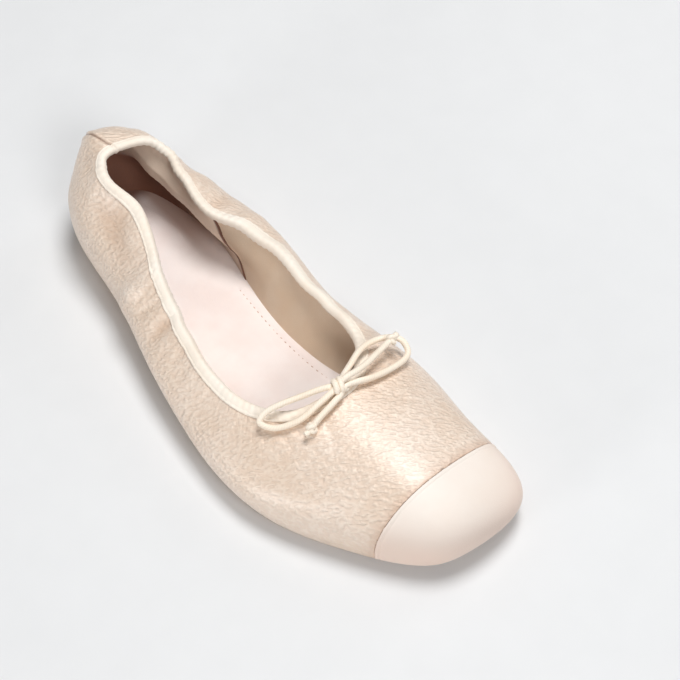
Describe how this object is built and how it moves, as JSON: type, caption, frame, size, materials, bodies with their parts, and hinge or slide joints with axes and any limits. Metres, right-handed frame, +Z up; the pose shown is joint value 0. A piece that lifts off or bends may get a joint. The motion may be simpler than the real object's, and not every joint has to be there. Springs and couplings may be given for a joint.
{
  "type": "ballet flat",
  "caption": "Soft ballet flat for the right foot: hollow pebbled leather upper, smooth toe cap, rolled collar binding, thin cord bow, flat insole and a thin sole with a low heel.",
  "frame": {"origin": "on the floor under the middle of the heel's flat spot", "axes": "+X towards the outer (little toe) side, +Y towards the toe, +Z up"},
  "size_m": [0.0899, 0.236, 0.0549],
  "materials": {
    "tan_outsole": "matt, fine grain",
    "blush_insole": "matt smooth lining leather",
    "champagne_leather": "pebbled with a soft metallic sheen",
    "nude_leather": "smooth, satin",
    "cream_binding": "soft stretch tape",
    "cream_cord": "round woven cord"
  },
  "bodies": {
    "root": {"outsole": "tan_outsole", "insole": "blush_insole", "upper": "champagne_leather", "toe_cap": "nude_leather", "collar_binding": "cream_binding", "bow_knot": "cream_cord", "bow_loop_out": "cream_cord", "bow_loop_in": "cream_cord", "bow_end_out": "cream_cord", "bow_end_in": "cream_cord"}
  },
  "joints": []
}
